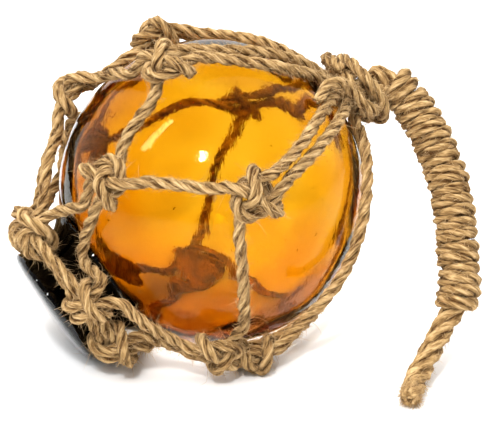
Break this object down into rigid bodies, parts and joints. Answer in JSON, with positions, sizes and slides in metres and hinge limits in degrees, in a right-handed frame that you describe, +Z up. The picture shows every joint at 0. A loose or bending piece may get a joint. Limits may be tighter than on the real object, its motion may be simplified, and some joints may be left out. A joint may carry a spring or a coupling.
{
  "type": "glass float ball",
  "caption": "Hollow glass fishing float with a glass seal button, in a knotted rope net gathered into a rope-wound handle with a bare rope tail.",
  "frame": {"origin": "middle of the small flat spot under the ball, on the ground", "axes": "+Z up out of the ground; +X to the side that the rope handle hangs on; -Y toward the side that the handle's tail comes forward to"},
  "size_m": [0.1526, 0.1212, 0.1073],
  "materials": {
    "amber_glass": "gloss",
    "bottle_glass": "gloss",
    "jute_rope": "matt",
    "jute_tail": "matt",
    "jute_whipping": "matt"
  },
  "bodies": {
    "root": {"glass_ball": "amber_glass", "seal_button": "bottle_glass", "rope_net": "jute_rope", "handle_whipping": "jute_whipping", "tail_rope": "jute_tail"}
  },
  "joints": []
}
